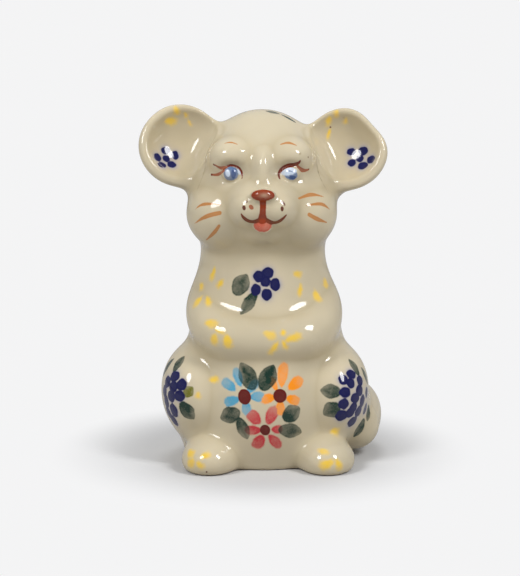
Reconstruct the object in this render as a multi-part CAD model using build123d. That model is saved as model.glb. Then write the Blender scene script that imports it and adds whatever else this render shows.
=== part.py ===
from build123d import *
import os

# A seated mouse figurine in glazed stoneware, modelled in millimetres.
# The torso and the head are hollow slip castings that are luted together at the neck. The ears, face
# pieces, arms, haunches, feet and tail are solid, and each is luted on, so it meets its neighbour face
# to face. The mouse faces -Y, its own left side is +X, and it sits on the plane Z = 0.

# Castings
torso_height = 52.0
belly_width = 43.0
foot_ring_width = 38.6
neck_width = 31.2
head_height = 34.0
head_width = 35.4
cast_wall = 3.0
floor_thickness = 3.2
foot_ring_rim = 2.6
foot_ring_recess = 1.0
vent_hole_diameter = 3.0
overrun = 5.0  # how far every cutting tool runs past the face that it cuts

# Outlines, from the ground up: (height share, swell share). A swell of 0 is the width of the outline's
# narrow end on that side, and a swell of 1 is the widest width.
torso_rise_shares = ((0.0, 0.0), (0.08, 0.545), (0.27, 1.0))
torso_taper_shares = ((0.46, 0.815), (0.60, 0.56), (0.77, 0.32), (0.91, 0.12), (1.0, 0.0))
head_rise_shares = ((0.0, 0.0), (0.10, 0.33), (0.24, 0.81), (0.40, 1.0))
head_taper_shares = ((0.56, 0.96), (0.72, 0.853), (0.85, 0.678), (0.94, 0.44), (1.0, 0.0))
foot_ring_slope = (0.45, 1.0)  # direction of the outline where it leaves the foot ring
upright = (0.0, 1.0)
level = (-1.0, 0.0)

# Rounded forms of the castings themselves: (side, front, height) shares and radii
belly_radius = 14.0
belly_bulge = 2.1  # how far the belly stands out in front of the trunk
belly_lift = 1.6  # from the ground to the bottom of the belly
cheek_radii = (9.3, 10.0, 8.4)
cheek_place_shares = (0.525, -0.452, 0.271)
brow_radii = (5.8, 5.4, 4.8)
brow_place_shares = (0.401, -0.644, 0.712)
bridge_radii = (3.3, 5.4, 6.8)
bridge_place_shares = (0.0, -0.791, 0.594)
chin_radii = (5.6, 4.8, 3.8)
chin_place_shares = (0.0, -0.78, 0.194)
socket_radii = (3.8, 4.4, 2.6)
socket_place_shares = (0.401, -1.096, 0.594)
brow_sway = 0.5  # how far brows and eyes sit to the mouse's right

# Ears. The dish is measured by the rims that it leaves round the ear.
ear_radius = 10.3
ear_depth = 5.8  # from the widest section of the ear to its back
ear_front = 1.4  # from the widest section of the ear to its rim
ear_floor_thickness = 3.1
ear_side_rim = 1.4
ear_top_rim = 1.3
ear_bottom_rim = 2.3
dish_opening = 0.4  # how far the dish runs past the ear on the head's side
dish_mouth = 1.2  # how far in front of the rim the dish is at its widest
ear_turn = -8.0  # degrees that the dish looks outwards
ear_lift = 20.0  # degrees that the dish looks up
ear_place_shares = (1.124, -0.249, 0.765)
ear_root_radii = (8.4, 5.0, 7.4)
ear_root_place_shares = (0.836, -0.079, 0.665)
left_ear_drop = 0.8  # how much lower the left ear was luted on

# Muzzle and what it carries: (side, height) shares of the muzzle's own radii, and how far each piece
# stands out in front of the muzzle
muzzle_radii = (9.0, 8.5, 7.0)
muzzle_place_shares = (0.0, -0.791, 0.376)
lip_radius = 4.3
lip_stand = 0.4
lip_on_muzzle_shares = (0.367, -0.114)
nose_radii = (3.0, 2.0, 1.8)
nose_stand = 1.5
nose_on_muzzle_shares = (0.0, 0.414)
tongue_radii = (2.2, 1.7, 2.2)
tongue_stand = 0.1
tongue_on_muzzle_shares = (0.0, -0.643)

# Eyes: each stands out of the back of its socket
eye_radius = 2.4
eye_stand = 1.8

# Arms: (side, front, height) shares of the torso along the arm, from the shoulder to past the middle,
# and the radii
arm_path_shares = (
    (0.30, 0.023, 0.788),
    (0.605, -0.14, 0.75),
    (0.62, -0.484, 0.673),
    (0.40, -0.744, 0.627),
    (-0.08, -0.833, 0.619),
)
arm_radii = (5.3, 5.6, 5.6, 5.2, 4.7)

# Haunches and feet
haunch_radii = (9.4, 13.6, 12.9)
haunch_place_shares = (0.744, -0.279, 0.308)
haunch_lean = 4.0  # degrees that the top of the thigh leans outwards
haunch_sway = 0.9  # how far both haunches sit to the mouse's left
foot_radii = (7.1, 8.2, 5.7)
foot_place_shares = (0.66, -0.809, 0.05)
foot_sway = 1.3  # how far both feet sit to the mouse's left

# Tail: shares of the torso from the rump, round the left side, to the tip, and its radii
tail_path_shares = (
    (-0.10, 0.62, 0.181),
    (0.35, 0.884, 0.188),
    (0.78, 0.716, 0.196),
    (1.047, 0.307, 0.185),
    (1.098, -0.13, 0.146),
)
tail_radii = (6.2, 6.7, 6.9, 7.0, 5.8)


def placed(place_shares, width, base_z, height):
    """A point given as shares of a casting: side and front of half its width, up of its height."""
    side, front, up = place_shares
    return (side * width / 2, front * width / 2, base_z + up * height)


def on_torso(place_shares):
    return placed(place_shares, belly_width, 0, torso_height)


def on_head(place_shares):
    return placed(place_shares, head_width, torso_height, head_height)


def ellipsoid(centre, radii, lean=0.0):
    return Pos(*centre) * Rot(0, lean, 0) * scale(Sphere(1), by=radii)


def ball(centre, radius):
    return Pos(*centre) * Sphere(radius)


def mirrored(shape):
    return mirror(shape, about=Plane.YZ)


def moved(shape, sway=0.0, drop=0.0):
    """A shape moved towards the mouse's left and down."""
    return Pos(sway, 0, -drop) * shape


def outline_points(outline_shares, end_width, widest_width, base_z, height, wall):
    """Outline points (radius, height) on one side of the widest place, moved in by the wall."""
    swell = (widest_width - end_width) / 2
    return [(end_width / 2 + out * swell - wall, base_z + up * height) for up, out in outline_shares]


def turned_form(points, end_tangents):
    """A solid turned about Z from an outline of (radius, height) points."""
    side = Spline(*points, tangents=end_tangents)
    low, high = points[0], points[-1]
    edges = [side, Line((0, low[1]), low), Line((0, low[1]), (0, high[1]))]
    if high[0] > 0:
        edges.append(Line(high, (0, high[1])))
    return revolve(Plane.XZ * make_face(edges), Axis.Z)


def trunk_form(wall=0.0):
    """The torso's turned form or, with a wall, the cavity inside it, from the ground to the neck."""
    rise = outline_points(torso_rise_shares, foot_ring_width, belly_width, 0, torso_height, wall)
    taper = outline_points(torso_taper_shares, neck_width, belly_width, 0, torso_height, wall)
    return turned_form(rise + taper, [foot_ring_slope, upright])


def torso_form():
    """The whole outside of the torso: the turned trunk with the belly."""
    belly_front = belly_width / 2 + belly_bulge
    return trunk_form() + ball((0, belly_radius - belly_front, belly_radius + belly_lift), belly_radius)


def skull_form(wall=0.0):
    """The head's turned form or, with a wall, the cavity inside it, from the neck to the crown."""
    height = head_height - wall
    rise = outline_points(head_rise_shares, neck_width, head_width, torso_height, height, wall)
    taper = outline_points(head_taper_shares, 2 * wall, head_width, torso_height, height, wall)
    return turned_form(rise + taper, [upright, level])


def head_form():
    """The whole outside of the head: skull, cheeks, chin, bridge and brows, with the eye sockets."""
    cheek = ellipsoid(on_head(cheek_place_shares), cheek_radii)
    brow = ellipsoid(on_head(brow_place_shares), brow_radii)
    form = skull_form() + cheek + mirrored(cheek)
    form = form + moved(brow, -brow_sway) + moved(mirrored(brow), -brow_sway)
    form = form + ellipsoid(on_head(bridge_place_shares), bridge_radii)
    form = form + ellipsoid(on_head(chin_place_shares), chin_radii)
    socket = ellipsoid(on_head(socket_place_shares), socket_radii)
    return form - moved(socket, -brow_sway) - moved(mirrored(socket), -brow_sway)


def torso():
    """The hollow torso with its floor, the recess inside the foot ring and the vent hole."""
    cavity = split(trunk_form(cast_wall), bisect_by=Plane.XY.offset(foot_ring_recess + floor_thickness))
    recess = Cylinder(foot_ring_width / 2 - foot_ring_rim, 2 * foot_ring_recess)
    vent = Cylinder(vent_hole_diameter / 2, 2 * (foot_ring_recess + floor_thickness) + overrun)
    return torso_form() - cavity - recess - vent


def head():
    return head_form() - skull_form(cast_wall)


def facing():
    """Turns the ear's own axes, with the dish looking along +Z, to the way that the left ear looks."""
    return Rot(0, 0, ear_turn) * Rot(90 - ear_lift, 0, 0)


def ear_form():
    """The left ear: a rounded disc on its root, with the dish hollowed out of both."""
    place = Pos(*on_head(ear_place_shares)) * facing()
    disc = ellipsoid((0, 0, -ear_front), (ear_radius, ear_radius, ear_depth))
    disc = split(disc, bisect_by=Plane.XY, keep=Keep.BOTTOM)
    inner, outer = ear_radius + dish_opening, ear_radius - ear_side_rim
    top, bottom = ear_radius - ear_top_rim, ear_radius - ear_bottom_rim
    floor = ear_front + ear_depth - ear_floor_thickness
    dish = ellipsoid(
        ((outer - inner) / 2, (top - bottom) / 2, dish_mouth),
        ((outer + inner) / 2, (top + bottom) / 2, dish_mouth + floor),
    )
    root = ellipsoid(on_head(ear_root_place_shares), ear_root_radii)
    return place * disc + root - place * dish


def muzzle_centre():
    return on_head(muzzle_place_shares)


def on_muzzle(shares, radius_y, stand):
    """Centre of a piece at shares of the muzzle's radii that stands out in front of the muzzle."""
    side, front, up = muzzle_centre()
    reach_x, reach_y, reach_z = muzzle_radii
    share_x, share_z = shares
    return (side + share_x * reach_x, front - reach_y - stand + radius_y, up + share_z * reach_z)


def muzzle_form():
    lip = ball(on_muzzle(lip_on_muzzle_shares, lip_radius, lip_stand), lip_radius)
    return ellipsoid(muzzle_centre(), muzzle_radii) + lip + mirrored(lip)


def eye_form():
    """The left eye, seated against the back of its socket."""
    side, front, up = on_head(socket_place_shares)
    back = front + socket_radii[1]
    return ball((side, back + eye_radius - eye_stand, up), eye_radius)


def limb(path_shares, radii):
    """A round limb that tapers along a curve, which starts inside the torso."""
    path = Spline(*(on_torso(place_shares) for place_shares in path_shares))
    sections = []
    for index, radius in enumerate(radii):
        along = index / (len(radii) - 1)
        tangent = path % along
        section = Plane(origin=path @ along, x_dir=tangent.cross(Vector(0, 0, 1)), z_dir=tangent)
        sections.append(section * Circle(radius))
    return loft(sections)


def left_half(shape):
    return split(shape, bisect_by=Plane.YZ, keep=Keep.TOP)


def above_ground(shape):
    return split(shape, bisect_by=Plane.XY, keep=Keep.TOP)


def figurine():
    """Every piece by name. Later pieces are cut to the outside of those that carry them."""
    torso_outside = torso_form()
    head_outside = head_form()
    pieces = {"torso": torso(), "head": head()}

    ear = ear_form()
    pieces["ear_left"] = moved(ear, drop=left_ear_drop) - head_outside
    pieces["ear_right"] = mirrored(ear) - head_outside

    muzzle_outside = muzzle_form()
    face = head_outside + muzzle_outside
    pieces["muzzle"] = muzzle_outside - head_outside
    nose_centre = on_muzzle(nose_on_muzzle_shares, nose_radii[1], nose_stand)
    pieces["nose"] = ellipsoid(nose_centre, nose_radii) - face
    tongue_centre = on_muzzle(tongue_on_muzzle_shares, tongue_radii[1], tongue_stand)
    pieces["tongue"] = ellipsoid(tongue_centre, tongue_radii) - face
    eye = eye_form()
    pieces["eye_left"] = moved(eye, -brow_sway) - head_outside
    pieces["eye_right"] = moved(mirrored(eye), -brow_sway) - head_outside

    arm = left_half(limb(arm_path_shares, arm_radii)) - torso_outside
    pieces["arm_left"] = arm
    pieces["arm_right"] = mirrored(arm)

    thigh = ellipsoid(on_torso(haunch_place_shares), haunch_radii, haunch_lean)
    sole = above_ground(ellipsoid(on_torso(foot_place_shares), foot_radii))
    for side in ("left", "right"):
        if side == "right":
            thigh = mirrored(thigh)
            sole = mirrored(sole)
        haunch_outside = moved(thigh, haunch_sway)
        haunch = above_ground(haunch_outside - torso_outside - pieces["arm_" + side])
        pieces["haunch_" + side] = haunch
        pieces["foot_" + side] = moved(sole, foot_sway) - haunch_outside - torso_outside

    tail = limb(tail_path_shares, tail_radii) + ball(on_torso(tail_path_shares[-1]), tail_radii[-1])
    pieces["tail"] = tail - torso_outside - pieces["haunch_left"] - pieces["foot_left"]
    return pieces


def export(pieces):
    """Writes each piece, moved so that the origin is under the middle of the figurine's own box."""
    box = Compound(children=[Compound(piece.solids()) for piece in pieces.values()]).bounding_box()
    middle = box.center()
    to_origin = Pos(-middle.X, -middle.Y, 0)
    os.makedirs("parts", exist_ok=True)
    for name, piece in pieces.items():
        export_step(to_origin * Compound(piece.solids()), f"parts/{name}.step")
    print("torso axis at", tuple(to_origin.position), "size", box.size)


export(figurine())
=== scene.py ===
import math
import bpy
import numpy as np
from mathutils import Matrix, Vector


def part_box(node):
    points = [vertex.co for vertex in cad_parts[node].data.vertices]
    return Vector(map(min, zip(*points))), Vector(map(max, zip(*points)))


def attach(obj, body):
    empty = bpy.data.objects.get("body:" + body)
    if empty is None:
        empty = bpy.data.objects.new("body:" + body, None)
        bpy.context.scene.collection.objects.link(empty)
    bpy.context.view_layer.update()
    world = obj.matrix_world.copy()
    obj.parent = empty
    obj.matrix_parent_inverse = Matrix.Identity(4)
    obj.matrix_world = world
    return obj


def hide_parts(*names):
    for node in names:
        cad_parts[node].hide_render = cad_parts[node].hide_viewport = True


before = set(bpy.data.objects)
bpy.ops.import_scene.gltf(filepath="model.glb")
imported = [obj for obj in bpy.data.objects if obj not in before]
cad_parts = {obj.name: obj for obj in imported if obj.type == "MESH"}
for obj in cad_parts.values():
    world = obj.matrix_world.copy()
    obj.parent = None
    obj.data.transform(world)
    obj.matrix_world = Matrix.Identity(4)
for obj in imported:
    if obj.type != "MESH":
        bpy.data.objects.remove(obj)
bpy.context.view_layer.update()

# The figurine is modelled as one smooth distance field in millimetres, with the torso's axis at X = Y = 0,
# the mouse facing -Y and the ground at Z = 0. The field is meshed, split into the CAD's nodes along the
# creases, painted with signed distances to every stamped or brushed mark, and shaded by one glaze.

MM = 0.001
TRUNK_RADIUS = 21.5
SHIFT = np.array([0.0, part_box("torso")[1].y / MM - TRUNK_RADIUS, 0.0])

# Camera, in the same millimetres, and the photograph's size in pixels
PHOTO_SIZE = (520, 576)
CENTRE_PX = (PHOTO_SIZE[0] / 2, PHOTO_SIZE[1] / 2)
PIXEL = 0.2485
DISTANCE = 500.0
TILT = math.radians(10.0)
TARGET = np.array([-0.7, 0.0, 41.6])


def view_axes(azimuth):
    """Position, right, up and forward of a camera that looks at the target from this azimuth."""
    c, s = math.cos(azimuth), math.sin(azimuth)
    right = np.array([c, s, 0.0])
    level = np.array([-s, c, 0.0])
    forward = level * math.cos(TILT) - np.array([0.0, 0.0, math.sin(TILT)])
    up = np.cross(right, forward)
    return TARGET - forward * DISTANCE, right, up, forward


# Distance field

def ellipsoid(p, centre, radii, lean=0.0):
    """Approximate distance to an ellipsoid, which may lean about the Y axis."""
    q = p - np.array(centre)
    if lean:
        c, s = math.cos(lean), math.sin(lean)
        q = np.stack([c * q[:, 0] - s * q[:, 2], q[:, 1], s * q[:, 0] + c * q[:, 2]], -1)
    r = np.array(radii, float)
    a = np.sqrt(((q / r) ** 2).sum(-1))
    b = np.sqrt(((q / r ** 2) ** 2).sum(-1))
    return a * (a - 1) / np.maximum(b, 1e-6)


def join(a, b, k):
    """Smooth union over a band of k millimetres."""
    h = np.maximum(k - np.abs(a - b), 0) / k
    return np.minimum(a, b) - h ** 3 * k / 6


def cut(a, b, k):
    """a without b, with a soft edge."""
    return -join(-a, b, k)


def natural_spline(points):
    """Cubic coefficients of a natural spline through points at whole parameters."""
    y = np.array(points, float)
    n = len(y)
    a = np.zeros((n, n))
    r = np.zeros_like(y)
    a[0, 0] = a[-1, -1] = 1
    for i in range(1, n - 1):
        a[i, i - 1:i + 2] = (1, 4, 1)
        r[i] = 6 * (y[i - 1] - 2 * y[i] + y[i + 1])
    m = np.linalg.solve(a, r)
    return y[:-1], y[1:] - y[:-1] - (2 * m[:-1] + m[1:]) / 6, m[:-1] / 2, (m[1:] - m[:-1]) / 6


def spline_at(coefficients, t, order=0):
    """Points of the spline at parameters t, or its first derivative."""
    k = np.clip(t.astype(int), 0, len(coefficients[0]) - 1)
    u = (t - k)[:, None]
    a, b, c, d = (x[k] for x in coefficients)
    if order:
        return b + 2 * c * u + 3 * d * u * u
    return a + u * (b + u * (c + u * d))


class Limb:
    """A round limb of varying radius along a natural spline of (x, y, z, radius) points."""

    REACH = 9.0

    def __init__(self, points):
        self.curve = natural_spline(points)
        self.last = len(points) - 1
        self.samples = np.linspace(0, self.last, 8 * self.last + 1)
        self.centres = spline_at(self.curve, self.samples)[:, :3]
        self.radius = max(point[3] for point in points)

    def __call__(self, points):
        """Distance to the limb, or REACH wherever the limb is farther than that."""
        result = np.full(len(points), self.REACH)
        reach = self.REACH + self.radius
        close = ((points > self.centres.min(0) - reach) & (points < self.centres.max(0) + reach)).all(1)
        p = points[close]
        near = np.full(len(p), np.inf)
        t = np.zeros(len(p))
        for value, centre in zip(self.samples, self.centres):
            gap = ((p - centre) ** 2).sum(-1)
            closer = gap < near
            near = np.where(closer, gap, near)
            t = np.where(closer, value, t)
        for _ in range(3):
            along = spline_at(self.curve, t, 1)[:, :3]
            off = p - spline_at(self.curve, t)[:, :3]
            t = np.clip(t + (off * along).sum(-1) / (along ** 2).sum(-1), 0, self.last)
        at = spline_at(self.curve, t)
        result[close] = np.minimum(np.sqrt(((p - at[:, :3]) ** 2).sum(-1)) - at[:, 3], self.REACH)
        return result


# The trunk's radius is a polynomial in height, and its axis bows a little to one side at the waist.
TRUNK_LOW, TRUNK_HIGH, TRUNK_TOP = -2, 58, 60
TRUNK = np.polyfit(
    (TRUNK_LOW, 0, 4.2, 14, 24, 31.2, 40, 47.3, 52, TRUNK_HIGH),
    (18.6, 19.4, 20.5, 21.45, 20.4, 18.8, 17.3, 15.9, 14.8, 13.2), 6)
WAIST_BOW, WAIST_HEIGHT, WAIST_SPREAD = 0.7, 31, 8
ARM = Limb([(7.5, 1.0, 40.4, 5.0), (12.7, -3.0, 38.8, 5.3), (13.0, -10.4, 35.0, 5.3),
            (8.6, -16.0, 32.6, 4.9), (0.0, -17.6, 32.2, 4.4), (-3.0, -17.6, 32.4, 4.3)])
TAIL = Limb([(-2.2, 13.3, 9.4, 6.0), (7.5, 19.0, 9.8, 6.5), (16.8, 15.4, 10.2, 6.7),
             (22.3, 6.6, 9.9, 7.2), (22.7, -2.8, 7.8, 6.4)])
SKULL_LEAN, HAUNCH_LEAN = -0.035, math.radians(6)

# The middle of each pair of forms, off the axis
CHEEK_SHIFT, EYE_SHIFT, ARM_SHIFT, HAUNCH_SHIFT, FOOT_SHIFT = -0.35, -0.5, 0.3, 0.55, 1.3

# The mouse's left ear sits lower than the right one, and its edge is flatter
EAR_CENTRE = np.array([19.9, -4.4, 78.0])
EAR_TURN, EAR_LIFT = math.radians(-8), math.radians(20)
LEFT_EAR_SHIFT, LEFT_ROOT_SHIFT = (0.3, 0.0, -0.8), (0.9, 0.0, -1.0)
LEFT_DENT, RIGHT_DENT = 0.19, 0.03
DENT_ANGLE, DENT_SPREAD, DENT_RADIUS = 0.75, 0.55, 10

# The underside: a recess inside the foot ring, and the casting's vent
RECESS_RADIUS, RECESS_HEIGHT = 16.7, 1.0
VENT_RADIUS, VENT_HEIGHT = 1.5, 6.0

NECK_HEIGHT = 52.0
FAR = 1e3
NODES = ["torso", "head", "muzzle", "nose", "tongue", "eye_left", "eye_right", "ear_left", "ear_right",
         "arm_left", "arm_right", "haunch_left", "haunch_right", "foot_left", "foot_right", "tail"]


def ear_axes():
    """Rows: across the ear, up the ear, and the way that its dish looks."""
    ct, st, cl, sl = math.cos(EAR_TURN), math.sin(EAR_TURN), math.cos(EAR_LIFT), math.sin(EAR_LIFT)
    out = np.array([st * cl, -ct * cl, sl])
    across = np.array([ct, st, 0.0])
    return np.stack([across, np.cross(out, across), out])


EAR_AXES = ear_axes()


def folded(p, middle=0.0):
    """Points with x as the distance from the plane x = middle."""
    return np.column_stack([np.abs(p[:, 0] - middle), p[:, 1:]])


def forms(p):
    """Distance to each form; the two of a pair are one form here."""
    m, eyes = folded(p), folded(p, EYE_SHIFT)
    left = (p[:, :1] > 0).astype(float)
    z = p[:, 2]
    bow = WAIST_BOW * np.exp(-((z - WAIST_HEIGHT) / WAIST_SPREAD) ** 2)
    height = np.clip(z, TRUNK_LOW, TRUNK_HIGH)
    slope = np.polyval(np.polyder(TRUNK), height)
    trunk = (np.hypot(p[:, 0] - bow, p[:, 1]) - np.polyval(TRUNK, height)) / np.sqrt(1 + slope ** 2)
    trunk = np.maximum(trunk, z - TRUNK_TOP)
    f = {}
    f["trunk"] = join(trunk, ellipsoid(p, (0, -10.2, 15.2), (13.2, 13.2, 13.8)), 7)
    f["skull"] = ellipsoid(p, (0, 0, 65.4), (17.2, 18.0, 20.6), SKULL_LEAN)
    f["cheek"] = ellipsoid(folded(p, CHEEK_SHIFT), (9.5, -8.2, 61.2), (8.5, 9.6, 7.7))
    f["brow"] = ellipsoid(eyes, (7.1, -11.6, 75.9), (5.1, 5.2, 4.0))
    f["socket"] = ellipsoid(eyes, (7.1, -19.2, 72.1), (4.2, 4.6, 2.9))
    f["bridge"] = ellipsoid(m, (0, -14.2, 72.0), (2.7, 5.2, 6.2))
    f["eye"] = ellipsoid(eyes, (7.1, -14.4, 72.0), (2.4, 2.3, 2.1))
    f["muzzle"] = ellipsoid(m, (0, -14.2, 64.8), (8.4, 8.4, 6.4))
    f["lip"] = ellipsoid(m, (3.3, -18.6, 64.0), (4.1, 4.2, 3.8))
    f["chin"] = ellipsoid(m, (0, -14.4, 58.6), (5.0, 4.4, 3.0))
    f["nose"] = ellipsoid(m, (0, -22.2, 67.7), (2.9, 1.9, 1.6))
    f["tongue"] = ellipsoid(m, (0, -20.9, 60.3), (2.1, 1.6, 2.0))
    q = (m - EAR_CENTRE - left * LEFT_EAR_SHIFT) @ EAR_AXES.T
    around = np.arctan2(q[:, 1], q[:, 0])
    dent = np.where(p[:, 0] > 0, LEFT_DENT, RIGHT_DENT) * np.exp(-((around - DENT_ANGLE) / DENT_SPREAD) ** 2)
    q[:, :2] /= (1 - dent * np.clip(np.hypot(q[:, 0], q[:, 1]) / DENT_RADIUS, 0, 1))[:, None]
    f["ear"] = cut(ellipsoid(q, (0, 0, -1.4), (10.3, 10.3, 5.8)), -q[:, 2], 2.2)
    f["dish"] = ellipsoid(q, (-1.1, 0.1, 2.0), (9.9, 9.1, 6.0))
    f["root"] = ellipsoid(m - left * LEFT_ROOT_SHIFT, (15.4, -1.4, 73.2), (7.2, 4.2, 6.8))
    f["arm"] = ARM(folded(p, ARM_SHIFT))
    f["haunch"] = ellipsoid(folded(p, HAUNCH_SHIFT), (16.4, -6.0, 16.7), (9.2, 13.4, 12.3), HAUNCH_LEAN)
    f["foot"] = ellipsoid(folded(p, FOOT_SHIFT), (14.2, -17.6, 2.6), (6.8, 7.9, 5.4))
    f["tail"] = TAIL(p)
    return f


def field(p):
    """Distance to the whole figurine's surface."""
    f = forms(p)
    z = p[:, 2]
    face = join(f["skull"], f["cheek"], 7)
    face = join(face, f["brow"], 5.5)
    face = join(face, f["bridge"], 4)
    face = cut(face, f["socket"], 3.2)
    face = join(face, f["eye"], 0.9)
    snout = join(f["muzzle"], f["lip"], 2.2)
    face = join(face, snout, 4.5)
    face = join(face, f["chin"], 5)
    face = join(face, f["tongue"], 0.9)
    face = join(face, f["nose"], 1.3)
    ear = cut(join(f["ear"], f["root"], 5), f["dish"], 1.3)
    head = join(face, ear, 6.0)
    body = join(f["trunk"], f["arm"], 6.5)
    hip = join(f["haunch"], f["tail"], 6.5)
    body = join(body, hip, 4.8)
    body = join(body, f["foot"], 5.5)
    whole = cut(join(body, head, 6), z, 1.6)
    rho = np.hypot(p[:, 0], p[:, 1])
    recess = np.maximum(rho - RECESS_RADIUS, z - RECESS_HEIGHT)
    vent = np.maximum(rho - VENT_RADIUS, z - VENT_HEIGHT)
    return cut(whole, np.minimum(recess, vent), 0.5)


def owner(p):
    """Index into NODES of the form that a surface point belongs to; small forms reach a little farther."""
    f = forms(p)
    left = p[:, 0] >= 0
    neck = p[:, 2] >= NECK_HEIGHT
    shell = np.minimum.reduce([f[name] for name in ("skull", "cheek", "brow", "bridge", "chin")])
    at = {
        "torso": np.where(neck, FAR, f["trunk"]),
        "head": np.where(neck, shell, FAR),
        "muzzle": np.minimum(f["muzzle"], f["lip"]) - 0.3,
        "nose": f["nose"] - 0.15,
        "tongue": f["tongue"] - 0.15,
        "tail": f["tail"],
    }
    ear = np.maximum(np.minimum(f["ear"], f["root"]), -f["dish"])
    pairs = {"eye": f["eye"] - 0.1, "ear": ear, "arm": f["arm"], "haunch": f["haunch"], "foot": f["foot"]}
    for name, distance in pairs.items():
        at[name + "_left"] = np.where(left, distance, FAR)
        at[name + "_right"] = np.where(left, FAR, distance)
    return np.argmin(np.stack([at[name] for name in NODES]), 0)


def gradient(p, step=0.03):
    """Field value and unit gradient, from the four corners of a small tetrahedron."""
    corners = np.array([(1, -1, -1), (-1, -1, 1), (-1, 1, -1), (1, 1, 1)], float)
    values = [field(p + c * step) for c in corners]
    g = sum(c * v[:, None] for c, v in zip(corners, values))
    length = np.sqrt((g ** 2).sum(-1, keepdims=True))
    return sum(values) / 4, g / np.maximum(length, 1e-9), length[:, 0] / (4 * step)


def settle(p, rounds):
    """Moves points onto the surface."""
    for _ in range(rounds):
        value, g, steep = gradient(p)
        p = p - g * (value / np.maximum(steep, 0.3))[:, None].clip(-0.5, 0.5)
    return p


# Mesh

COARSE, BAND = 4, 3.2


def surface_nets(low, high, step):
    """Quads around the surface, one vertex in each crossed cell of a grid.

    The field is read on every COARSE-th grid plane, filled in between, and read again within BAND steps.
    """
    axes = [np.arange(a, b + step, step) for a, b in zip(low, high)]
    coarse_axes = [axis[::COARSE] for axis in axes]
    axes = [axis[:(len(c) - 1) * COARSE + 1] for axis, c in zip(axes, coarse_axes)]
    grid = np.stack(np.meshgrid(*coarse_axes, indexing="ij"), -1)
    values = field(grid.reshape(-1, 3)).reshape(grid.shape[:3])
    for axis in range(3):
        spread = np.linspace(0, values.shape[axis] - 1, (values.shape[axis] - 1) * COARSE + 1)
        base = np.minimum(spread.astype(int), values.shape[axis] - 2)
        share = (spread - base).reshape([-1 if k == axis else 1 for k in range(3)])
        values = values.take(base, axis) * (1 - share) + values.take(base + 1, axis) * share
    close = np.argwhere(np.abs(values) < BAND * step)
    spots = np.column_stack([axis[close[:, k]] for k, axis in enumerate(axes)])
    values[tuple(close.T)] = field(spots)
    inside = values < 0
    parts = [inside[i:len(axes[0]) - 1 + i, j:len(axes[1]) - 1 + j, k:len(axes[2]) - 1 + k]
             for i in (0, 1) for j in (0, 1) for k in (0, 1)]
    filled = sum(part.astype(np.int8) for part in parts)
    crossed = (filled > 0) & (filled < 8)
    index = np.full(crossed.shape, -1, np.int64)
    index[crossed] = np.arange(crossed.sum())
    points = np.array(low) + (np.argwhere(crossed) + 0.5) * step
    quads = []
    for axis in range(3):
        order = (axis, (axis + 1) % 3, (axis + 2) % 3)
        full, cell = inside.transpose(order), index.transpose(order)
        here, there = full[:-1, 1:-1, 1:-1], full[1:, 1:-1, 1:-1]
        a, b, c, d = cell[:, :-1, :-1], cell[:, 1:, :-1], cell[:, 1:, 1:], cell[:, :-1, 1:]
        for change, ring in ((here & ~there, (a, b, c, d)), (there & ~here, (a, d, c, b))):
            quads.append(np.stack([corner[change] for corner in ring], -1))
    return points, np.concatenate(quads)


def edges_of(quads):
    """Unique edges, and for each quad the index of its four edges."""
    pairs = np.stack([quads, np.roll(quads, -1, 1)], -1).reshape(-1, 2)
    pairs.sort(1)
    edges, inverse = np.unique(pairs, axis=0, return_inverse=True)
    return edges, inverse.reshape(-1, 4)


def relax(points, quads, rounds):
    """Evens out the spacing along the surface."""
    edges, _ = edges_of(quads)
    a, b = edges.T
    degree = np.bincount(a, minlength=len(points)) + np.bincount(b, minlength=len(points))
    for _ in range(rounds):
        mean = np.stack([
            np.bincount(a, points[b, k], len(points)) + np.bincount(b, points[a, k], len(points))
            for k in range(3)], -1) / degree[:, None]
        points = settle(points + 0.6 * (mean - points), 1)
    return points


def subdivide(points, quads):
    """Each quad as four."""
    edges, of_quad = edges_of(quads)
    middle = points[edges].mean(1)
    centre = points[quads].mean(1)
    e = of_quad + len(points)
    c = np.arange(len(quads)) + len(points) + len(edges)
    parts = [np.stack([quads[:, k], e[:, k], c, e[:, k - 1]], -1) for k in range(4)]
    return np.concatenate([points, middle, centre]), np.concatenate(parts)


def islands(count, a, b):
    """For each of count members, the least member that the pairs a and b join it to."""
    group = np.arange(count)
    while True:
        before = group.copy()
        least = np.minimum(group[a], group[b])
        np.minimum.at(group, a, least)
        np.minimum.at(group, b, least)
        group = group[group]
        if (before == group).all():
            return group


def tidy_labels(label, quads, rounds=40):
    """Gives stray islands of a node to the node around them."""
    _, of_quad = edges_of(quads)
    order = np.argsort(of_quad.ravel(), kind="stable")
    flat = of_quad.ravel()[order]
    face = order // 4
    same = flat[1:] == flat[:-1]
    a, b = face[:-1][same], face[1:][same]
    for _ in range(rounds):
        joined = label[a] == label[b]
        group = islands(len(label), a[joined], b[joined])
        size = np.bincount(group, minlength=len(label))
        biggest = {n: size[group[label == n]].max() for n in np.unique(label)}
        stray = np.array([size[g] < biggest[n] for g, n in zip(group, label)])
        if not stray.any():
            return label
        edge = ~joined & (stray[a] ^ stray[b])
        label = label.copy()
        inner = np.where(stray[a[edge]], a[edge], b[edge])
        outer = np.where(stray[a[edge]], b[edge], a[edge])
        label[inner] = label[outer]
    return label


# Marks: each is stamped or brushed from a pixel of a view, and lands on the surface behind that pixel.

BACK = math.pi
RAY_START, RAY_ROUNDS, RAY_SHARE = DISTANCE - 60.0, 60, 0.8


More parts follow.
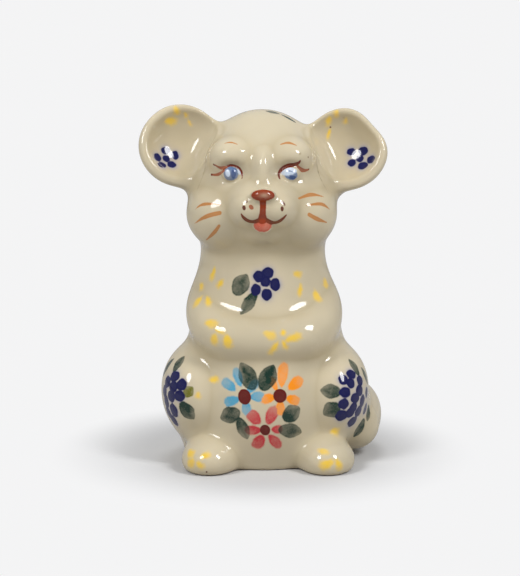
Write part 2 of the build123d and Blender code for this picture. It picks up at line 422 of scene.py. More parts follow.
def land(pixels, azimuth=0.0):
    """Surface points behind pixels of the view from this azimuth."""
    eye, right, up, forward = view_axes(azimuth)
    px = np.array(pixels, float)
    ray = (forward * DISTANCE + right * ((px[:, :1] - CENTRE_PX[0]) * PIXEL)
           + up * ((CENTRE_PX[1] - px[:, 1:]) * PIXEL))
    ray /= np.sqrt((ray ** 2).sum(-1, keepdims=True))
    travelled = np.full(len(px), RAY_START)
    for _ in range(RAY_ROUNDS):
        travelled += RAY_SHARE * field(eye + ray * travelled[:, None]).clip(-5, 20)
    return eye + ray * travelled[:, None]


def linear(*srgb):
    """Linear light from 8-bit display values."""
    c = np.array(srgb, float) / 255
    return np.where(c <= 0.04045, c / 12.92, ((c + 0.055) / 1.055) ** 2.4)


# Inks: display colour and how fully they cover the body. The eyes' blue-white ink is mostly a painted highlight.
INKS = {name: (linear(*srgb), cover) for name, srgb, cover in (
    ("sky", (84, 160, 192), 0.92), ("orange", (250, 146, 16), 0.98), ("red", (196, 52, 60), 0.92),
    ("yellow", (240, 200, 70), 0.84), ("green", (6, 46, 34), 0.98), ("olive", (104, 104, 10), 0.95),
    ("navy", (2, 6, 74), 1.0), ("centre", (96, 12, 4), 1.0), ("brown", (158, 90, 60), 0.92),
    ("sienna", (184, 120, 58), 0.86), ("dark", (116, 48, 16), 0.96), ("nose", (138, 50, 14), 1.0),
    ("lid", (112, 38, 20), 0.96), ("pink", (190, 88, 66), 0.92), ("iris", (84, 114, 158), 0.92),
    # The line ink is painted shade along the grooves of the ears' seams
    ("pupil", (48, 72, 122), 0.92), ("ice", (206, 218, 234), 0.88), ("line", (120, 104, 76), 0.5),
    ("freckle", (96, 44, 28), 0.92))}
# An ink's distances shrink by this share, which softens its edge
SOFT_EDGES = {"yellow": 0.32, "sky": 0.6, "orange": 0.65, "red": 0.65}
FAMILIES = ("petal", "leaf", "dark")


class Paint:
    """Signed distances in millimetres to the nearest mark of each family, with its colour and load."""

    CLEAR, NO_TINT = 2.0, (0.5, 0.5, 0.5, 0.0)
    MARGIN, STROKE_MARGIN, HALO_MARGIN, HALO_FADE = 1.6, 2.2, 1.0, 0.45

    def __init__(self, points, normals):
        self.p, self.n = points, normals
        count = len(points)
        self.edge = {f: np.full(count, self.CLEAR, np.float32) for f in FAMILIES}
        self.tint = {f: np.tile(np.array(self.NO_TINT, np.float32), (count, 1)) for f in FAMILIES}
        self.halo = np.zeros(count, np.float32)

    def near(self, centre, reach):
        """Indices of the surface points within reach of a centre."""
        low, high = centre - reach, centre + reach
        found = np.flatnonzero(((self.p > low) & (self.p < high)).all(1))
        return found[((self.p[found] - centre) ** 2).sum(-1) < reach ** 2]

    def put(self, family, ids, distance, ink, load):
        """Keeps the nearer mark, with its ink and load, at these surface points."""
        closer = distance < self.edge[family][ids]
        ids, distance = ids[closer], distance[closer]
        self.edge[family][ids] = distance
        colour, strength = INKS[ink]
        self.tint[family][ids, :3] = colour
        self.tint[family][ids, 3] = strength * (load[closer] if np.ndim(load) else load)

    def mark(self, family, ink, at, toward, length, width, kind, load):
        """A flat stamp at a landed point, with its tip pointing at another landed point.

        Petals are narrow at the inner end, leaves taper to both ends and have a darker vein, berries are a
        little lumpy and bleed into a pale halo, and yellow dabs are broad and thin out to their edges.
        """
        _, normal, _ = gradient(at[None])
        normal = normal[0]
        along = toward - at
        along -= normal * (along @ normal)
        along /= max(np.linalg.norm(along), 1e-6)
        across = np.cross(normal, along)
        reach = 0.5 * max(length, width) + self.MARGIN
        ids = self.near(at, reach)
        ids = ids[self.n[ids] @ normal > 0.1]
        q = self.p[ids] - at
        t, b = q @ along / (0.5 * length), q @ across / (0.5 * width)
        if kind == "petal":
            b = b / (0.86 + 0.2 * np.clip(t, -1, 1))
        if kind == "leaf":
            b = b / np.clip(1.06 - 0.52 * np.clip(t, -0.4, 1) ** 2, 0.2, 2)
        if ink == "yellow":
            t, b = t / 1.12, b / 1.2
        if ink == "navy":
            turn = np.arctan2(b, t)
            wobble = 1.19 + 0.04 * np.cos(5 * turn + 9 * at[0]) + 0.03 * np.cos(3 * turn + 7 * at[2])
            t, b = t / wobble, b / wobble
        r = np.hypot(t, b)
        grad = np.hypot(t / (0.5 * length), b / (0.5 * width)) / np.maximum(r, 1e-6)
        distance = (r - 1) / np.maximum(grad, 1e-6) * SOFT_EDGES.get(ink, 1.0)
        if kind == "petal":
            load = load * (1.02 - 0.22 * np.clip(t, -1, 1))
        if ink == "yellow":
            load = load * (1.12 - 0.55 * np.clip(r, 0, 1.2) ** 2)
        if kind == "leaf":
            vein = 0.26 * np.exp(-(b / 0.4) ** 2)
            load = load * np.minimum(0.94 - 0.30 * np.clip(t, -1, 1) + vein, 1.06)
        if ink == "nose":
            load = 1.0 - 0.42 * np.exp(-((t - 0.1) ** 2 + (b + 0.1) ** 2) / 0.16)
        self.put(family, ids, distance.astype(np.float32), ink, load)
        if ink == "navy":
            wide = self.near(at, reach + self.HALO_MARGIN)
            gap = np.sqrt(((self.p[wide] - at) ** 2).sum(-1)) - 0.25 * (length + width)
            self.halo[wide] = np.maximum(self.halo[wide], np.exp(-np.maximum(gap, 0) / self.HALO_FADE))

    def stroke(self, ink, path, widths, family="dark"):
        """A brush line through landed points, with a width in millimetres at each."""
        for (a, b), (wa, wb) in zip(zip(path[:-1], path[1:]), zip(widths[:-1], widths[1:])):
            middle, span = (a + b) / 2, b - a
            ids = self.near(middle, np.linalg.norm(span) / 2 + self.STROKE_MARGIN)
            share = np.clip((self.p[ids] - a) @ span / max(span @ span, 1e-9), 0, 1)
            gap = np.sqrt(((self.p[ids] - a - share[:, None] * span) ** 2).sum(-1))
            self.put(family, ids, (gap - 0.5 * (wa + (wb - wa) * share)).astype(np.float32), ink, 1.0)


CURVE_POINTS = 14


def curve_pixels(points):
    """Pixels along a natural spline through a few given ones."""
    return spline_at(natural_spline(points), np.linspace(0, len(points) - 1, CURVE_POINTS))


# Pixel tables. A flower is its centre and petals as (x, y, length, width), all in pixels. RIGHT is the
# photograph's right, and SIDE the haunch at its left.
FLOWERS = [
    ("sky", (244.4, 396.8, 15.5, 13.0),
     [(228.8, 384.9, 14.5, 10), (238.2, 377.2, 17, 9), (252.6, 386.6, 14, 9), (257.3, 396.6, 13, 10),
      (246.3, 407.8, 13, 9.5), (231.6, 400.9, 13.5, 10)]),
    ("orange", (280.1, 395.9, 13.8, 13.6),
     [(282.6, 374.6, 21, 10.5), (295.6, 383.6, 15.5, 11.5), (293.0, 399.8, 12, 10), (280.4, 408.0, 13, 9.5),
      (267.9, 398.6, 13, 9.5), (273.6, 383.6, 13, 7)]),
    ("red", (265.1, 430.1, 11.0, 10.2),
     [(254.1, 417.6, 15, 12), (271.4, 415.6, 17, 11.5), (277.0, 429.4, 10, 8.5), (274.8, 441.3, 15, 10),
      (258.7, 441.8, 13.5, 12), (253.0, 430.3, 14.5, 9.5)]),
]
# Leaves: (x, y, direction x, direction y, length, width)
BELLY_LEAVES = [
    (247.6, 376.4, -0.45, -0.89, 30, 17), (267.8, 377.8, 0.42, -0.9, 28, 17), (229.8, 415.2, -0.9, 0.35, 21, 16),
    (242.9, 428.8, 0.38, 0.92, 24, 11.5), (291.8, 413.6, 0.8, -0.55, 21, 16), (290.6, 430.8, 0.98, 0.16, 23.5, 14)]
CHEST_LEAVES = [(240.8, 284.6, 0.5, -0.85, 24, 17), (248.6, 303.4, -0.56, 0.83, 27, 11.5)]
CHEST_BERRIES = [(258.6, 276.4, 9, 10), (267.9, 272.8, 10, 9.5), (265.4, 281.6, 8.5, 9), (275.2, 284.6, 8.5, 11),
                 (255.8, 289.8, 8.5, 10), (266.7, 294.6, 9, 10)]
SIDE_LEAVES = [
    (178.3, 363.5, 0.6, -0.8, 20, 9), (166.9, 367.0, 0.55, -0.83, 22, 8.5), (186.8, 411.2, 0.64, 0.77, 22, 13)]
SIDE_BERRIES = [(174.6, 376.4, 8.5, 8.5), (167.4, 381.8, 8, 9.5), (173.2, 386.6, 8, 9), (181.4, 384.6, 7.5, 9.5),
                (164.6, 391.0, 7, 9.5), (171.2, 396.2, 8, 9.5), (179.4, 396.0, 8, 9), (166.4, 401.6, 7, 9),
                (173.6, 410.4, 7.5, 10), (168.6, 412.6, 7, 9), (173.8, 420.4, 7, 9)]
RIGHT_LEAVES = [(354.6, 366.8, -0.55, -0.83, 20, 8.5), (365.2, 375.4, -0.4, -0.91, 19, 7.5),
                (330.6, 391.2, -1.0, -0.1, 21, 14), (331.4, 410.0, -0.85, 0.5, 19, 16),
                (359.6, 428.4, -0.5, 0.87, 22, 9.5), (368.2, 413.0, -0.1, 1.0, 17, 7)]
RIGHT_BERRIES = [(343.2, 379.6, 8, 9), (351.4, 374.2, 9, 8), (350.9, 383.2, 7.5, 9), (345.2, 392.4, 9.5, 9),
                 (360.0, 380.6, 8, 9), (359.6, 390.4, 9, 10), (355.4, 398.2, 9.5, 9), (343.8, 404.0, 9, 9),
                 (362.4, 401.0, 8, 10), (353.4, 407.8, 8, 8), (341.6, 415.7, 10, 9), (350.6, 412.4, 8.5, 8.5),
                 (358.6, 411.4, 9, 9), (352.4, 421.8, 10, 9), (366.6, 392.4, 6.5, 9), (365.2, 408.6, 7, 9)]
EAR_BERRIES = [
    (165.5, 150.7, 7.8, 6.4), (157.4, 157.4, 6.6, 6.8), (166.2, 158.7, 6.2, 5.8), (175.1, 155.3, 6.2, 7.8),
    (161.8, 165.0, 7.4, 5.4), (171.6, 164.6, 7.8, 6.0)]
RIGHT_EAR_BERRIES = [
    (351.3, 151.8, 7.8, 6.4), (363.3, 151.0, 8.4, 7.4), (360.0, 158.6, 6.4, 6.0), (371.1, 159.6, 7.6, 6.6),
    (351.9, 162.9, 7.2, 6.4), (362.9, 165.8, 8.4, 6.6)]
# Yellow dabs: (x, y, direction x, direction y, length, width)
DABS = [
    (176.8, 111.2, 0.3, 1, 9, 7), (170.8, 120.9, 1, 0, 13, 9.5), (185.8, 114.6, 0.6, 1, 7, 5),
    (189.8, 123.2, 0.5, 1, 7, 4), (336.3, 114.0, -0.3, 1, 9, 6), (328.6, 121.0, -0.2, 1, 10, 7),
    (345.6, 120.9, -0.3, 1, 7, 4.5), (328.5, 134.2, -0.3, 1, 11, 4.5), (212.7, 274.6, -0.35, 0.95, 14, 6.5),
    (220.2, 283.6, -0.6, 0.8, 10, 7), (201.4, 286.7, 0.3, 1, 9, 6.5), (197.4, 301.6, -0.6, 0.8, 14, 8),
    (208.1, 301.4, 0.3, 1, 12, 7.5), (297.6, 274.2, 1, 0.3, 9, 8), (300.0, 290.6, -0.1, 1, 13, 6),
    (325.6, 283.4, 0.1, 1, 10, 7.5), (316.8, 296.2, 0.4, 0.9, 14, 8.5), (211.2, 323.4, 1, 0.3, 14, 10),
    (219.6, 331.0, 0.8, 0.5, 12, 7), (214.2, 339.6, 0, 1, 12, 9), (227.4, 341.6, 0.3, 1, 14, 11),
    (270.2, 335.2, 0.9, 0.4, 13, 10), (283.0, 332.6, 0, 1, 7, 7), (293.8, 337.8, 0.95, -0.35, 17, 9),
    (273.4, 348.6, -0.6, 0.8, 15, 7.5), (284.8, 345.2, 0.5, 0.8, 10, 6), (214.2, 379.6, 1, 0, 9, 8),
    (198.2, 395.4, 0, 1, 7, 6), (335.0, 431.5, 1, 0, 9, 8.5), (190.6, 453.4, 0.6, 0.8, 11, 9),
    (205.6, 455.4, 0.8, -0.4, 11, 8), (190.8, 463.2, -0.5, 0.8, 10, 9), (200.0, 465.4, 0.6, 0.8, 10, 7.5),
    (323.2, 451.4, 0.9, 0.4, 12, 7.5), (326.4, 464.4, -0.9, 0.4, 15, 11), (338.8, 465.0, 0.3, 1, 12, 9)]
# Brush lines of the face: ink, pixels, widths in pixels along the line
LINES = [
    ("sienna", [(195.0, 209.4), (204.0, 204.2), (220.4, 204.8)], (0.8, 3.6, 1.6)),
    ("sienna", [(194.4, 223.6), (206.0, 216.6), (219.6, 213.0)], (0.8, 4.4, 4.4)),
    ("sienna", [(206.2, 240.0), (213.6, 233.2), (219.2, 225.6)], (1.4, 4.0, 3.0)),
    ("sienna", [(298.8, 198.6), (311.5, 194.6), (323.6, 196.8)], (2.0, 4.4, 0.8)),
    ("sienna", [(306.0, 205.4), (317.0, 204.0), (324.0, 205.0), (329.8, 209.6)], (1.0, 3.4, 3.8, 1.0)),
    ("sienna", [(309.2, 214.6), (317.2, 219.0), (326.6, 222.4)], (3.8, 4.6, 1.4)),
    ("sienna", [(224.4, 143.4), (231.0, 142.4), (237.4, 144.4)], (1.0, 2.6, 1.2)),
    ("sienna", [(280.6, 144.4), (288.6, 142.8), (296.6, 145.6)], (1.4, 3.8, 1.2)),
    ("lid", [(222.8, 171.0), (227.0, 166.6), (232.8, 165.4), (239.0, 168.0), (242.0, 173.4), (242.0, 178.6)],
     (2.0, 3.0, 2.8, 2.8, 2.2, 1.3)),
    ("brown", [(226.6, 167.2), (220.6, 167.8), (215.0, 165.0)], (3.2, 3.6, 1.9)),
    ("brown", [(223.8, 170.6), (218.0, 174.4), (211.8, 174.6)], (2.8, 3.4, 1.9)),
    ("lid", [(279.6, 178.8), (278.8, 173.6), (282.6, 168.4), (290.0, 165.2), (297.4, 163.4), (300.2, 160.6)],
     (2.0, 3.2, 4.4, 5.2, 4.2, 1.6)),
    ("brown", [(297.0, 165.4), (302.6, 170.2), (308.8, 169.4)], (2.6, 4.4, 1.8)),
    ("lid", [(306.0, 170.0), (308.9, 169.2)], (1.4, 1.8)),
    ("lid", [(213.6, 164.6), (216.6, 166.0)], (2.4, 1.2)),
    ("lid", [(211.4, 174.6), (214.6, 174.9)], (2.4, 1.2)),
    ("nose", [(262.8, 199.0), (263.0, 207.0), (262.6, 214.0), (262.4, 219.4)], (7.2, 6.0, 6.4, 9.4)),
    ("dark", [(241.4, 214.2), (244.6, 218.6), (251.6, 221.8), (259.6, 219.8)], (2.0, 4.4, 4.8, 4.6)),
    ("dark", [(265.6, 219.6), (273.6, 222.8), (281.0, 220.2), (286.2, 215.2)], (4.6, 4.8, 4.4, 2.0)),
]
# Small brush dabs of the face and eyes: family, ink, (x, y, direction x, direction y, length, width)
DETAILS = [
    ("petal", "pink", (262.4, 225.2, 1, 0, 18, 13.5)),
    ("dark", "nose", (263.0, 194.8, 1, 0, 22.6, 11.2)),
    ("dark", "freckle", (246.8, 201.7, 0, 1, 3.0, 2.4)), ("dark", "freckle", (244.0, 207.8, 0.3, 1, 5.0, 3.6)),
    ("dark", "brown", (251.2, 207.2, 0.8, 1, 5.6, 4.2)), ("dark", "freckle", (283.4, 203.2, 0.6, 1, 6.0, 2.6)),
    ("dark", "freckle", (282.2, 208.8, 0, 1, 5.2, 3.4)), ("dark", "freckle", (330.4, 127.2, 1, 0, 2.0, 2.0)),
    ("dark", "freckle", (308.2, 157.2, 1, 0, 2.2, 1.8)), ("dark", "freckle", (206.6, 472.0, 1, 0, 2.0, 1.8)),
    # Blue-white marks in the eyes: the one at the left eye's right is the eye's white, the others are painted
    # highlights
    ("petal", "iris", (231.0, 173.8, 1, 0, 14.5, 14.0)), ("leaf", "pupil", (233.8, 173.8, -0.1, 1, 10.0, 5.5)),
    ("dark", "ice", (227.6, 173.0, 0.25, 1, 7.5, 4.4)), ("leaf", "ice", (239.2, 171.6, 0.2, 1, 6.5, 3.6)),
    ("petal", "iris", (291.4, 175.2, 1, 0.1, 13.0, 10.0)), ("leaf", "ice", (288.6, 171.2, 1, -0.15, 15.5, 8.0)),
    ("dark", "pupil", (290.4, 171.2, 1, 0.35, 4.6, 1.2)), ("leaf", "pupil", (292.4, 177.4, 1, 0, 8.0, 3.6)),
]
# The seam where each ear was luted on, drawn as a thin line of painted shade that stands in for its groove
SEAMS = [[(204.4, 153.6), (206.0, 161.5), (203.2, 174.6), (196.6, 191.0)],
         [(315.6, 152.0), (316.6, 162.0), (319.6, 176.0), (329.2, 194.2)]]


# Growth against the tables: the most where the surface is seen at a slant, then length and width of petals
# and of the berries on the haunch at the photograph's left
MOST_STRETCH = 1.16
PETAL_GROWTH = (1.18, 1.2)
SIDE_GROWTH = (1.22, 1.08)
SEAM_WIDTH = 0.30
AIM_PIXELS = 3


def paint_figure(paint, rng):
    """Every stamp and brush line, seen from the front, round the sides and on the back."""

    def stamps(family, ink, rows, azimuth=0.0, kind="petal", dx=0.0, dy=0.0):
        """One mark for each row: a pixel, a direction that may be left out, a length and a width."""
        rows = [row if len(row) == 6 else (row[0], row[1], 1, 0, *row[2:]) for row in rows]
        table = np.array(rows, float)
        table[:, 0] += dx
        table[:, 1] += dy
        aim = table[:, 2:4] / np.maximum(np.hypot(*table[:, 2:4].T), 1e-6)[:, None]
        at = land(table[:, :2], azimuth)
        toward = land(table[:, :2] + aim * AIM_PIXELS, azimuth)
        beside = land(table[:, :2] + aim[:, ::-1] * (-AIM_PIXELS, AIM_PIXELS), azimuth)
        stretch = [np.clip(np.sqrt(((end - at) ** 2).sum(-1)) / (AIM_PIXELS * PIXEL), 1, MOST_STRETCH)
                   for end in (toward, beside)]
        for here, there, row, longer, wider in zip(at, toward, table, *stretch):
            load = 1.0 if family == "dark" else rng.uniform(0.9, 1.1)
            paint.mark(family, ink, here, there, row[4] * PIXEL * longer, row[5] * PIXEL * wider, kind, load)

    def flower(ink, centre, petals, azimuth, dx, dy):
        rows = [(x, y, x - centre[0], y - centre[1], length * PETAL_GROWTH[0], width * PETAL_GROWTH[1])
                for x, y, length, width in petals]
        stamps("petal", ink, rows, azimuth, dx=dx, dy=dy)
        stamps("dark", "centre", [(centre[0], centre[1], 0.3, 1, centre[2], centre[3])], azimuth, "dot", dx, dy)

    def bouquet(azimuth=0.0, dx=0.0, dy=0.0):
        for ink, centre, petals in FLOWERS:
            flower(ink, centre, petals, azimuth, dx, dy)
        stamps("leaf", "green", BELLY_LEAVES, azimuth, "leaf", dx, dy)

    def cluster(berries, leaves=(), azimuth=0.0, dx=0.0, dy=0.0):
        stamps("dark", "navy", berries, azimuth, "dot", dx, dy)
        if leaves:
            stamps("leaf", "green", leaves, azimuth, "leaf", dx, dy)

    bouquet()
    cluster(CHEST_BERRIES, CHEST_LEAVES)
    cluster([(x, y, SIDE_GROWTH[0] * a, SIDE_GROWTH[1] * b) for x, y, a, b in SIDE_BERRIES], SIDE_LEAVES)
    stamps("leaf", "olive", [(188.4, 391.6, 0.7, -0.7, 13, 11)], kind="leaf")
    cluster(RIGHT_BERRIES, RIGHT_LEAVES)
    cluster(EAR_BERRIES)
    cluster(RIGHT_EAR_BERRIES)
    stamps("petal", "yellow", DABS)

    for family, ink, row in DETAILS:
        stamps(family, ink, [row], kind="dot")
    for ink, pixels, widths in LINES:
        share = np.linspace(0, len(widths) - 1, CURVE_POINTS)
        paint.stroke(ink, land(curve_pixels(pixels)), np.interp(share, range(len(widths)), widths) * PIXEL)
    # Each ear's seam: a thin line of painted shade for its groove, with some glaze gathering in it
    for pixels in SEAMS:
        widths = np.sin(np.linspace(0.3, 2.9, CURVE_POINTS)) * SEAM_WIDTH
        paint.stroke("line", land(curve_pixels(pixels)), widths, family="leaf")

    # In-kind decoration where the photograph doesn't reach
    bouquet(BACK, dx=-4.0, dy=-8.0)
    cluster(RIGHT_BERRIES, RIGHT_LEAVES, BACK, dx=-90.0, dy=-262.0)
    cluster(CHEST_BERRIES, CHEST_LEAVES, BACK, dx=34.0, dy=4.0)
    cluster(SIDE_BERRIES, [(190.0, 392.0, 1, -0.1, 18, 12)], math.radians(-112), dx=70.0, dy=-4.0)
    stamps("leaf", "green", [(273.0, 112.2, 0.95, 0.25, 15, 7), (289.0, 118.4, 0.85, 0.5, 18, 4.5)], kind="leaf")
    stamps("petal", "yellow", [row for row in DABS if 260 < row[1] < 350], BACK, dx=-3.0)
    stamps("petal", "yellow", [(230, 440, 1, 0.2, 11, 8), (243, 436, 1, -0.2, 10, 8), (262, 446, 1, 0.1, 12, 8),
                               (300, 438, 1, 0.2, 11, 9), (322, 436, 0.8, 0.4, 12, 8)], BACK)


# Glaze

class Nodes:
    """Adds nodes to an emptied tree, and feeds their inputs with sockets or values."""

    def __init__(self, holder):
        holder.use_nodes = True
        self.tree = holder.node_tree
        self.tree.nodes.clear()

    def feed(self, socket, value):
        if isinstance(value, bpy.types.NodeSocket):
            self.tree.links.new(value, socket)
        else:
            socket.default_value = value

    def add(self, kind, inputs=None, **settings):
        added = self.tree.nodes.new(kind)
        for name, value in settings.items():
            setattr(added, name, value)
        for key, value in (inputs or {}).items():
            self.feed(added.inputs[key], value)
        return added

    def calc(self, operation, *values, clamp=False):
        inputs = dict(enumerate(values))
        return self.add("ShaderNodeMath", inputs, operation=operation, use_clamp=clamp).outputs[0]

    def mix(self, share, a, b):
        """Colour b over colour a."""
        blend = self.add("ShaderNodeMix", data_type="RGBA")
        self.feed(blend.inputs["Factor"], share)
        for name, value in (("A", a), ("B", b)):
            self.feed(next(s for s in blend.inputs if s.name == name and s.type == "RGBA"), value)
        return next(s for s in blend.outputs if s.type == "RGBA")

    def noise(self, where, scale, detail=2.0, roughness=0.55):
        inputs = {"Vector": where, "Scale": scale, "Detail": detail, "Roughness": roughness}
        return self.add("ShaderNodeTexNoise", inputs).outputs["Fac"]

    def steps(self, value, low, high, to_low=0.0, to_high=1.0):
        inputs = dict(enumerate((value, low, high, to_low, to_high)))
        return self.add("ShaderNodeMapRange", inputs, interpolation_type="SMOOTHSTEP").outputs[0]

    def attribute(self, name):
        return self.add("ShaderNodeAttribute", attribute_name=name)

    def either(self, share, a, b):
        """Shader b over shader a."""
        return self.add("ShaderNodeMixShader", {0: share, 1: a, 2: b}).outputs[0]


def solid(*srgb):
    return (*linear(*srgb), 1)


# Each family's soft edge in millimetres, its raggedness, and the least cover of its worn and pitted spots
FAMILY_LOOKS = {"petal": (0.24, 1.0, 0.80, 0.90), "leaf": (0.24, 1.0, 0.80, 0.90), "dark": (0.13, 0.35, 0.985, 0.99)}


def glaze():
    """Cream stoneware body under a clear glossy glaze, with the marks read from the mesh."""
    material = bpy.data.materials.new("decorated_glaze")
    nodes = Nodes(material)
    where = nodes.add("ShaderNodeNewGeometry").outputs["Position"]
    broad, mid = nodes.noise(where, 60), nodes.noise(where, 260, 3)
    fine, grit = nodes.noise(where, 900), nodes.noise(where, 2600, 2, 0.7)

    cream = nodes.mix(nodes.steps(broad, 0.35, 0.65), solid(207, 194, 166), solid(199, 187, 160))
    cream = nodes.mix(nodes.steps(mid, 0.45, 0.75, 0, 0.35), cream, solid(202, 190, 160))
    specks = nodes.add("ShaderNodeTexVoronoi", {"Vector": where, "Scale": 190}, feature="F1")
    picked = nodes.calc("GREATER_THAN", specks.outputs["Color"], 0.80)
    dot = nodes.calc("MULTIPLY", nodes.steps(specks.outputs["Distance"], 0.02, 0.10, 1, 0), picked)
    cream = nodes.mix(nodes.calc("MULTIPLY", dot, 0.35), cream, solid(120, 92, 62))
    # Painted shade, with some glaze gathering, darkens the cream in the creases, the ears' dishes and the eye sockets
    cream = nodes.mix(nodes.attribute("crease_shade").outputs["Fac"], cream, solid(176, 160, 126))
    halo = nodes.calc("MULTIPLY", nodes.attribute("halo").outputs["Fac"], 0.60)
    colour = nodes.mix(halo, cream, solid(118, 126, 178))

    ragged = nodes.calc("MULTIPLY", nodes.calc("SUBTRACT", fine, 0.5), 0.42)
    ragged = nodes.calc("MULTIPLY_ADD", nodes.calc("SUBTRACT", grit, 0.5), 0.18, ragged)
    for family, (soft, rough, worn_cover, pit_cover) in FAMILY_LOOKS.items():
        distance = nodes.attribute(family + "_edge").outputs["Fac"]
        edge = nodes.calc("MULTIPLY_ADD", ragged, rough, distance)
        mask = nodes.steps(edge, -soft, soft * 0.6, 1, 0)
        rim = nodes.steps(edge, -0.55, -0.05, 0, 0.10)
        tint = nodes.attribute(family + "_tint")
        worn = nodes.calc("MULTIPLY", nodes.steps(mid, 0.36, 0.62, worn_cover, 1.0),
                          nodes.steps(grit, 0.30, 0.52, pit_cover, 1.0))
        load = nodes.calc("MULTIPLY", nodes.calc("ADD", tint.outputs["Alpha"], rim), worn, clamp=True)
        colour = nodes.mix(nodes.calc("MULTIPLY", mask, load, clamp=True), colour, tint.outputs["Color"])

    bare = nodes.attribute("bare").outputs["Fac"]
    swell = nodes.add("ShaderNodeBump", {"Strength": 0.22, "Distance": 0.0006, "Height": nodes.noise(where, 150, 1.0)})
    skin = nodes.add("ShaderNodeBump", {
        "Strength": 0.05, "Distance": 0.0002, "Height": fine, "Normal": swell.outputs["Normal"]})
    shader = nodes.add("ShaderNodeBsdfPrincipled", {
        "Base Color": nodes.mix(bare, colour, solid(205, 186, 158)),
        "Roughness": nodes.calc("MULTIPLY_ADD", bare, 0.62, nodes.steps(mid, 0.3, 0.7, 0.10, 0.15)),
        "IOR": 1.5, "Specular IOR Level": 0.0,
        "Coat Weight": 1.0, "Coat Roughness": 0.07, "Coat IOR": 1.48,
        "Subsurface Weight": 0.06, "Subsurface Radius": (0.0016, 0.0011, 0.0007), "Subsurface Scale": 1.0,
        "Normal": skin.outputs["Normal"]})
    nodes.add("ShaderNodeOutputMaterial", {"Surface": shader.outputs[0]})
    return material


# Pieces

GRID_LOW, GRID_HIGH, GRID_STEP = (-33.0, -35.0, -1.5), (33.0, 28.0, 91.0), 0.62
BARE_HEIGHT, BARE_FADE = 0.55, 0.35
RIM_INSET = 0.5
APEX_STEP, APEX_LEAST, APEX_MOST = 0.7, 3.5, 9.0


def pooled_glaze_and_shade(points):
    """Share of darker glaze where forms join, in the ears' dishes and in the eye sockets: partly glaze that gathers
    there, partly painted shade.
    """
    distances = forms(points)
    hollows = {"dish": (1.2, 0.42), "socket": (1.6, 0.30)}
    raised = np.minimum.reduce([d for name, d in distances.items() if name not in hollows])
    pool_and_shade = np.clip((raised - 0.05) / 1.1, 0, 1) * 0.55
    for name, (depth, share) in hollows.items():
        pool_and_shade = np.maximum(pool_and_shade, np.clip(1 - np.abs(distances[name]) / depth, 0, 1) * share)
    return pool_and_shade


def closed_patch(faces):
    """One node's patch: its points, its quads, and the extra points and triangles that close its rims.

    Each rim goes a little way inward, then closes on a point deeper inside.
    """
    used, inverse = np.unique(faces, return_inverse=True)
    faces = inverse.reshape(-1, 4)
    pairs = np.stack([faces, np.roll(faces, -1, 1)], -1).reshape(-1, 2)
    _, first, count = np.unique(np.sort(pairs, 1), axis=0, return_index=True, return_counts=True)
    rim = pairs[first[count == 1]]
    group = islands(len(used), *rim.T)
    place, extra, caps = points[used], [], []
    for g in np.unique(group[rim[:, 0]]):
        mine = rim[group[rim[:, 0]] == g]
        apex = place[mine[:, 0]].mean(0)
        span = np.sqrt(((place[mine[:, 0]] - apex) ** 2).sum(-1)).mean()
        for _ in range(12):
            depth, outward, _ = gradient(apex[None])
            if depth[0] < -min(max(0.8 * span, APEX_LEAST), APEX_MOST):
                break
            apex = apex - outward[0] * APEX_STEP
        ring = np.unique(mine[:, 0])
        _, outward, _ = gradient(place[ring])
        low = len(used) + len(extra) + np.searchsorted(ring, mine)
        extra += list(place[ring] - outward * RIM_INSET)
        caps.append(np.column_stack([mine[:, 1], mine[:, 0], low[:, 0]]))
        caps.append(np.column_stack([mine[:, 1], low[:, 0], low[:, 1]]))
        caps.append(np.column_stack([low[:, 1], low[:, 0], np.full(len(mine), len(used) + len(extra))]))
        extra.append(apex)
    return used, faces, np.array(extra).reshape(-1, 3), np.concatenate(caps)


def build(name, faces):
    """One visible piece, with the paint stored on its points."""
    used, quads_here, extra, caps = closed_patch(faces)
    place = np.concatenate([points[used], extra]) + SHIFT
    mesh = bpy.data.meshes.new(name + "_glazed")
    mesh.from_pydata((place * MM).tolist(), [], quads_here.tolist() + caps.tolist())
    mesh.polygons.foreach_set("use_smooth", [True] * len(mesh.polygons))
    n = np.concatenate([normals[used], np.tile([0.0, 0.0, -1.0], (len(extra), 1))])
    mesh.normals_split_custom_set_from_vertices(n.tolist())

    def store(label, values, fill=0.0):
        colour = values.ndim > 1
        inside = np.tile(fill, (len(extra), 1)) if colour else np.full(len(extra), fill)
        layer = mesh.attributes.new(label, "FLOAT_COLOR" if colour else "FLOAT", "POINT")
        full = np.concatenate([values[used], inside]).astype(np.float32)
        layer.data.foreach_set("color" if colour else "value", full.ravel())

    for family in FAMILIES:
        store(family + "_edge", paint.edge[family], Paint.CLEAR)
        store(family + "_tint", paint.tint[family], Paint.NO_TINT)
    store("halo", paint.halo)
    store("crease_shade", crease_shade)
    store("bare", bare)
    mesh.materials.append(material)
    piece = bpy.data.objects.new(name + "_glazed", mesh)
    bpy.context.collection.objects.link(piece)
    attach(piece, "root")
    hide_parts(name)


points, quads = surface_nets(GRID_LOW, GRID_HIGH, GRID_STEP)
points = settle(points, 3)
points = relax(points, quads, 3)
points = settle(points, 2)
points, quads = subdivide(points, quads)
points = settle(points, 2)
value, normals, _ = gradient(points)
print("mesh", len(points), "points", len(quads), "quads, off the surface by at most", float(np.abs(value).max()))

label = tidy_labels(owner(points[quads].mean(1)), quads)
paint = Paint(points, normals)
paint_figure(paint, np.random.default_rng(7))
# Painted shade, with some glaze gathering, in the creases, the ears' dishes and the eye sockets
crease_shade = pooled_glaze_and_shade(points)
bare = np.clip((BARE_HEIGHT - points[:, 2]) / BARE_FADE, 0, 1)
material = glaze()
for index, name in enumerate(NODES):
    build(name, quads[label == index])


# Stage, light and camera

BACKDROP = (0.905, 0.905, 0.91)
FLOOR_REACH = 12.0
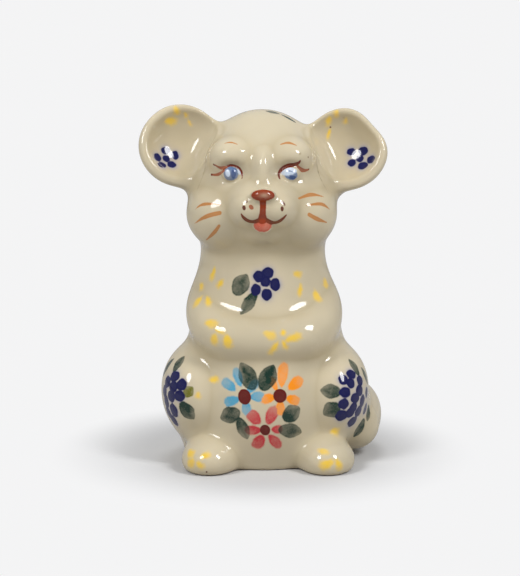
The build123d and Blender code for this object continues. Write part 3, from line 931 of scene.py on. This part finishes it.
# Near the figurine the floor is darker than the backdrop: a painted shadow ring over its real shadow, fading out
# across SHADOW_RADII
FLOOR_COLOUR, FLOOR_BOUNCE = (0.64, 0.64, 0.645), (0.50, 0.49, 0.475)
SHADOW_RADII = (0.028, 0.055)
SKY_COLOUR, SKY_STRENGTH = (0.95, 0.97, 1.0), 0.385
MIRRORED_SKY = (0.44, 0.445, 0.45)
LAMP_AIM = (0, 0, 45)
SENSOR_HEIGHT = 24.0


def to_world(p):
    return Vector((np.array(p, float) + SHIFT) * MM)


def floor_material():
    """A matt floor that the camera sees fade into the backdrop, and that lights the figurine softly; near the figurine
    it is darker than the backdrop, a painted shadow on top of the real one.
    """
    material = bpy.data.materials.new("pale_floor")
    nodes = Nodes(material)
    matt = nodes.add("ShaderNodeBsdfPrincipled", {
        "Base Color": (*FLOOR_COLOUR, 1), "Roughness": 0.9, "Specular IOR Level": 0.1}).outputs[0]
    glow = nodes.add("ShaderNodeEmission", {"Color": (*BACKDROP, 1)}).outputs[0]
    dim = nodes.add("ShaderNodeBsdfDiffuse", {"Color": (*FLOOR_BOUNCE, 1)}).outputs[0]
    where = nodes.add("ShaderNodeNewGeometry").outputs["Position"]
    radius = nodes.add("ShaderNodeVectorMath", {0: where}, operation="LENGTH").outputs["Value"]
    camera_ray = nodes.add("ShaderNodeLightPath").outputs["Is Camera Ray"]
    faded = nodes.calc("MULTIPLY", nodes.steps(radius, *SHADOW_RADII), camera_ray)
    surface = nodes.either(camera_ray, dim, nodes.either(faded, matt, glow))
    nodes.add("ShaderNodeOutputMaterial", {"Surface": surface})
    return material


def sky(world):
    """Soft light, with a dimmer sky in reflections and the backdrop for the camera."""
    nodes = Nodes(world)
    soft = nodes.add("ShaderNodeBackground", {"Color": (*SKY_COLOUR, 1), "Strength": SKY_STRENGTH})
    mirrored = nodes.add("ShaderNodeBackground", {"Color": (*MIRRORED_SKY, 1)})
    seen = nodes.add("ShaderNodeBackground", {"Color": (*BACKDROP, 1)})
    path = nodes.add("ShaderNodeLightPath")
    light = nodes.either(path.outputs["Is Glossy Ray"], soft.outputs[0], mirrored.outputs[0])
    light = nodes.either(path.outputs["Is Camera Ray"], light, seen.outputs[0])
    nodes.add("ShaderNodeOutputWorld", {"Surface": light})


def area_light(name, place, size, power, mirrored=True):
    """An oval lamp aimed at the figurine; it may be left out of reflections."""
    lamp = bpy.data.lights.new(name, "AREA")
    lamp.shape = "ELLIPSE"
    lamp.size, lamp.size_y = size
    lamp.energy = power
    holder = bpy.data.objects.new(name, lamp)
    holder.location = to_world(place)
    holder.visible_glossy = mirrored
    holder.rotation_euler = (to_world(LAMP_AIM) - holder.location).to_track_quat("-Z", "Y").to_euler()
    bpy.context.collection.objects.link(holder)


floor_mesh = bpy.data.meshes.new("floor")
corners = [(x * FLOOR_REACH, y * FLOOR_REACH, 0) for x, y in ((-1, -1), (1, -1), (1, 1), (-1, 1))]
floor_mesh.from_pydata(corners, [], [(0, 1, 2, 3)])
floor_mesh.materials.append(floor_material())
floor = bpy.data.objects.new("floor", floor_mesh)
bpy.context.collection.objects.link(floor)

area_light("key_left", (-430, -420, 560), (0.24, 0.30), 2.85)
area_light("key_right", (440, -360, 560), (0.18, 0.34), 2.85)
area_light("overhead", (0, 330, 980), (0.40, 0.40), 2.2, mirrored=False)
world = bpy.data.worlds.new("studio")
bpy.context.scene.world = world
sky(world)

eye, _, _, forward = view_axes(0.0)
camera = bpy.data.cameras.new("camera")
camera.sensor_fit = "VERTICAL"
camera.sensor_height = SENSOR_HEIGHT
camera.lens = SENSOR_HEIGHT * DISTANCE / (PHOTO_SIZE[1] * PIXEL)
holder = bpy.data.objects.new("camera", camera)
holder.location = to_world(eye)
holder.rotation_euler = Vector(forward).to_track_quat("-Z", "Y").to_euler()
bpy.context.collection.objects.link(holder)
bpy.context.scene.camera = holder
bpy.context.scene.view_settings.view_transform = "Standard"
